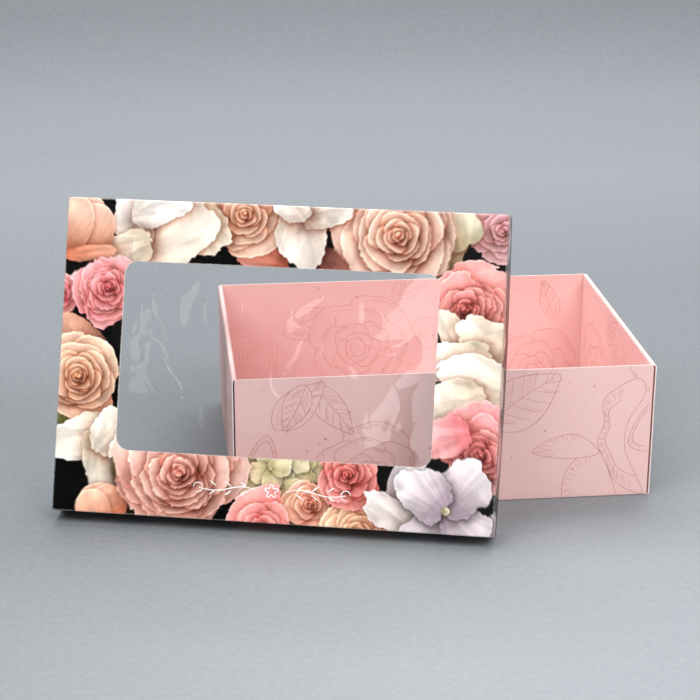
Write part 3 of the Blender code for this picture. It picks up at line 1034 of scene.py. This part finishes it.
def make_lid(print_):
    make_lid_face(print_)
    reach = LID_X - CREASE - CARD - 0.3
    for low, end in ((True, "lower"), (False, "upper")):
        wall = Shell()

        def height(v, low=low):
            return v if low else LID_Z - v

        line = fold_path((0, 0), 0, [(LID_DEPTH - CREASE, 0), (CREASE, 90)], grid=FINE_GRID)

        def wall_tint(length, along, height=height, total=line[2][-1]):
            return print_.at(along + LID_X, height(CREASE - (total - length)))

        def black(length, along):
            return np.full((*along.shape, 3), 0.01)

        wall.extrude(line, -reach, reach, lambda a, b, c, h=height: stack(c, -a, h(b)),
                     grid=FINE_GRID, tint=wall_tint)
        for side in (-1, 1):
            turn = fold_path((reach, 0), 0, [(CREASE, 90), (LID_FLAP, 0)], grid=3)
            slant = np.clip((turn[2] - FLAP_START) / 40, 0, 1)

            def flap_place(a, b, c, h=height, t=side):
                return stack(t * (a + flare(t, c, h(b))), -c, h(b))

            wall.extrude(turn, 0.6 + 2 * slant, LID_DEPTH - 1.0 - 1.5 * slant, flap_place, grid=3,
                         tint=black)
        made = slot_ride(wall.build(f"lid_{end}_card", LID_SKIN, LID), "lid")
        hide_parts(f"lid_{end}_wall", f"lid_left_{end}_flap", f"lid_right_{end}_flap")

    for sign, side in ((-1, "left"), (1, "right")):
        panel = Shell()
        line = fold_path((LID_X - LID_END, 1.15), 270,
                         [(LID_FOLD, 90), (LID_FOLD, 90), (LID_DEPTH - 1.15 - CREASE, 0),
                          (CREASE, 90)], grid=FINE_GRID)
        tucked = np.clip((3.6 - line[2]) / 1.2, 0, 1)

        def tint(length, along, s=sign, total=line[2][-1]):
            return print_.at(LID_X + s * (LID_X + total - length - CREASE), along)

        def place(a, b, c, s=sign):
            return stack(s * (a + flare(s, b, c)), -b, c)

        panel.extrude(line, 0.8 * tucked, LID_Z - 0.8 * tucked, place, grid=FINE_GRID, tint=tint)
        made = slot_ride(panel.build(f"lid_{side}_end_card", LID_SKIN, LID), "lid")
        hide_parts(f"lid_{side}_outer_panel", f"lid_{side}_rim_fold")

        inner = Shell()
        line = fold_path((LID_X - LID_END, LID_DEPTH - CREASE), 270, [(LID_DEPTH - 2.2, 0)],
                         grid=FINE_GRID)

        def inner_tint(length, along, s=sign):
            return print_.at(np.full(along.shape, LID_X + s * (LID_X + LID_INNER_SIDE)), along)

        inner.extrude(line, PANEL_INSET, LID_Z - PANEL_INSET, place, grid=FINE_GRID,
                      tint=inner_tint)
        made = inner.build(f"lid_{side}_inner_card", LID_SKIN, LID)
        slot_ride(made, f"lid_{side}_panel")
        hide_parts(f"lid_{side}_inner_panel")


FILM_THICK = 0.12
FILM_OVERLAP = 8.8
FILM_SAG = 0.4
FILM_LIMIT = 0.42  # how far behind the card it may come
TAPED_WIDTH = 24  # from the window's edge to where it is quite slack


def make_film():
    """The window's film: taped flat behind the face, slack and wavy where it is free."""
    left, right, low, high = WINDOW
    xs = np.linspace(left - FILM_OVERLAP, right + FILM_OVERLAP, 260)
    zs = np.linspace(low - FILM_OVERLAP, high + FILM_OVERLAP, 160)
    x, z = np.meshgrid(xs, zs, indexing="ij")
    free = np.minimum.reduce((x - left, right - x, z - low, high - z))
    slack = np.clip(free / TAPED_WIDTH, 0, 1)
    slack = slack * slack * (3 - 2 * slack)
    wander = (x + 4 * ripple(x, z, 81, 60), z + 4 * ripple(x, z, 82, 64))
    wave = 0.62 * np.tanh(ripple(*wander, 83, 54)) + 0.12 * np.tanh(ripple(*wander, 84, 26))
    loops = np.exp(-(ripple(*wander, 85, 34) / 0.1) ** 2) * np.clip(1 - (x + 20) / 50, 0.25, 1)
    wave = wave + 0.16 * loops
    touch = np.exp(-(((x + 22) / 16) ** 2 + ((z - 68) / 22) ** 2))  # the tray's corner holds it
    depth = -LID_DEPTH + CARD + 0.18 + slack * (wave * (1 - touch) - FILM_SAG)
    depth = np.minimum(depth, -LID_DEPTH + CARD + FILM_LIMIT)
    surface = stack(x, depth, z)
    slope = np.cross(np.gradient(surface, axis=0), np.gradient(surface, axis=1))
    slope /= np.linalg.norm(slope, axis=-1, keepdims=True)
    slope *= -np.sign(slope[..., 1:2])
    film = Shell(FILM_THICK)
    film.sheet(surface, slope, np.zeros(x.shape))
    made = film.build("lid_window_film_sheet", (FILM, FILM, FILM), LID, 60)
    slot_ride(made, "lid")
    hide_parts("lid_window_film")


def make_ornament():
    """A small plain printed ornament on the lid's lower margin: two sprigs and a flower."""
    width, middle = 80, 7.0
    d = Drawing(width, 2 * middle, 51, margin=0)
    centre = width / 2
    for s in (-1, 1):
        t = np.linspace(0, 1, 30)
        sway = 1.5 * np.sin(math.pi * t * 2) * (1 - 0.4 * t)
        d.line(np.stack((centre + s * (7 + 29 * t), middle + sway), 1), 0.62, 0.5)
        phi = np.linspace(0, TAU * 0.8, 24)
        curl = (centre + s * (36 + 2.3 * np.cos(phi)), middle + 2.3 * np.sin(phi))
        d.line(np.stack(curl, 1), 0.5, 0.4)
        for k in range(3):
            x = centre + s * (12 + 7.5 * k)
            for foot, rise in ((1, 0.7), (-0.6, -0.7)):
                y = middle + foot
                d.line([(x, y), (x + s * 2.6, y + 3 * rise), (x + s * 3.6, y + 3.6 * rise)], 0.7, 0.9)
    phi = np.linspace(0, TAU, 60)
    r = 3.4 * (0.72 + 0.28 * np.cos(5 * phi))
    phi = phi + math.pi / 2
    d.line(np.stack((centre + r * np.cos(phi), middle + r * np.sin(phi)), 1), 0.55)
    corner = (0.5 - centre, -LID_DEPTH, 8.5)
    made = ink_piece("lid_ornament_print", [(d, corner, (1, 0, 0), (0, 0, 1))], WHITE_INK, LID)
    slot_ride(made, "lid")


# ---------------------------------------------------------------- studio
STAGE_HALF, BEND_AT, BEND_RADIUS, BACK_TOP = 4.5, 0.55, 1.1, 2.6
STAGE_FRONT, STAGE_FAR = -0.6, 2.4  # where the paper's tones and painted shade begin and end, metres
# the paper's grey with painted light and shade in bands, by distance
PAPER_TONES_AND_SHADE = ((0.0, 146), (0.12, 144), (0.15, 138), (0.18, 124), (0.23, 121), (0.29, 124),
               (0.385, 139), (0.46, 132), (0.54, 107), (0.8, 102))


def paper_material():
    """Grey-blue paper with painted light and shade: lighter and darker bands with the distance, and painted
    shade growing towards the near left.
    """
    m = Nodes("backdrop_paper")
    place = m.add("SeparateXYZ", {0: m.where})
    far = m.add("Math", {0: place.outputs[1], 1: place.outputs[2]}, operation="ADD").outputs[0]
    ramp = m.add("ValToRGB", {0: m.spread(far, STAGE_FRONT, STAGE_FAR, 0.0, 1.0)})
    ramp.color_ramp.interpolation = "LINEAR"
    while len(ramp.color_ramp.elements) < len(PAPER_TONES_AND_SHADE):
        ramp.color_ramp.elements.new(0.5)
    for stop, (at, tone) in zip(ramp.color_ramp.elements, PAPER_TONES_AND_SHADE):
        stop.position = at
        stop.color = rgba((tone - 1, tone + 5, tone + 10))
    near = m.spread(far, -0.1, 0.15, 1.0, 0.0)
    # painted shade, darker towards the near left
    left = m.add("Math", {0: m.spread(place.outputs[0], -0.4, -0.02, 0.5, 0.0), 1: near},
                 operation="MULTIPLY")
    painted_falloff = m.mix(left.outputs[0], ramp.outputs[0], rgba((70, 75, 80)))
    grain = m.spread(m.noise(300, 3, 0.5), 0.3, 0.7, 0.0, 0.04)
    tone = m.mix(grain, painted_falloff, rgba((255, 255, 255)))
    shader = m.add("BsdfPrincipled", {"Base Color": tone, "Roughness": 0.62,
                                      "Normal": m.bump(m.noise(900, 3, 0.5), 0.00003)})
    return m.finish(shader.outputs[0])


def make_stage():
    """A seamless sweep of paper, in metres."""
    profile = [(-STAGE_HALF, 0.0), (BEND_AT, 0.0)]
    for i in range(1, 25):
        a = math.radians(90 * i / 24)
        profile.append((BEND_AT + BEND_RADIUS * math.sin(a), BEND_RADIUS * (1 - math.cos(a))))
    profile.append((BEND_AT + BEND_RADIUS, BACK_TOP))
    xs = np.linspace(-STAGE_HALF, STAGE_HALF, 14)
    points = [(x, y, z) for y, z in profile for x in xs]
    columns = len(xs)
    faces = [(r * columns + c, r * columns + c + 1, (r + 1) * columns + c + 1, (r + 1) * columns + c)
             for r in range(len(profile) - 1) for c in range(columns - 1)]
    mesh = bpy.data.meshes.new("backdrop_paper")
    mesh.from_pydata(points, [], faces)
    mesh.polygons.foreach_set("use_smooth", [True] * len(mesh.polygons))
    mesh.materials.append(paper_material())
    link_object("backdrop_paper", mesh)


# name, place, what it points at, size in metres, watts
LIGHTS = (
    ("key_softbox", (-1.0, -0.8, 1.5), (0, 0, 0.03), (1.2, 1.0), 20),
    ("front_softbox", (0.76, -1.32, 1.55), (0, 0, 0.05), (1.2, 0.9), 24),
    ("top_softbox", (0.15, 0.85, 1.65), (0, 0, 0), (1.6, 1.1), 32),
    ("strip_softbox", (-0.334, -1.946, 0.77), (-0.08, -0.09, 0.07), (0.7, 1.0), 3.0),
    ("side_softbox", (-1.36, -1.34, 0.82), (-0.08, -0.09, 0.07), (0.6, 0.9), 1.0),
)
SKY_COLOUR = (1, 0.985, 0.98, 1)
SKY_RISE = {"From Min": 0.3, "From Max": 0.8, "To Min": 0.1, "To Max": 0.45}


def make_lights():
    for name, place, target, size, watts in LIGHTS:
        light = bpy.data.lights.new(name, "AREA")
        light.shape = "RECTANGLE"
        light.size, light.size_y = size
        light.energy = watts
        made = link_object(name, light)
        made.location = place
        aim = Vector(target) - Vector(place)
        made.rotation_euler = aim.to_track_quat("-Z", "Y").to_euler()
    world = bpy.data.worlds.new("studio")
    world.use_nodes = True
    tree = world.node_tree
    split = tree.nodes.new("ShaderNodeSeparateXYZ")
    rise = tree.nodes.new("ShaderNodeMapRange")
    for key, value in SKY_RISE.items():
        rise.inputs[key].default_value = value
    tree.links.new(tree.nodes.new("ShaderNodeTexCoord").outputs["Generated"], split.inputs[0])
    tree.links.new(split.outputs[2], rise.inputs["Value"])
    sky = tree.nodes["Background"]
    sky.inputs["Color"].default_value = SKY_COLOUR
    tree.links.new(rise.outputs[0], sky.inputs["Strength"])
    bpy.context.scene.world = world


CAMERA_PLACE = (-0.14165, -0.917476, 0.39)
YAW, PITCH, ROLL = 6.367, 19.884, 0.1676
LENS, SENSOR = 95.978, 36


def make_camera():
    """The camera, from its place, yaw, pitch and roll in the object's frame."""
    yaw, pitch, roll = (math.radians(v) for v in (YAW, PITCH, ROLL))
    ahead = Vector((math.sin(yaw) * math.cos(pitch), math.cos(yaw) * math.cos(pitch),
                    -math.sin(pitch)))
    level = Vector((math.cos(yaw), -math.sin(yaw), 0))
    rise = level.cross(ahead)
    right = level * math.cos(roll) + rise * math.sin(roll)
    up = rise * math.cos(roll) - level * math.sin(roll)
    camera = bpy.data.cameras.new("camera")
    camera.lens, camera.sensor_width = LENS, SENSOR
    camera.clip_start = 0.01
    made = link_object("camera", camera)
    turn = Matrix((right, up, -ahead)).transposed().to_4x4()
    made.matrix_world = Matrix.Translation(CAMERA_PLACE) @ turn
    bpy.context.scene.camera = made


make_tray()
make_tray_art()
make_lid(paint_print())
make_film()
make_ornament()
make_stage()
make_lights()
make_camera()
bpy.context.scene.view_settings.view_transform = "Standard"
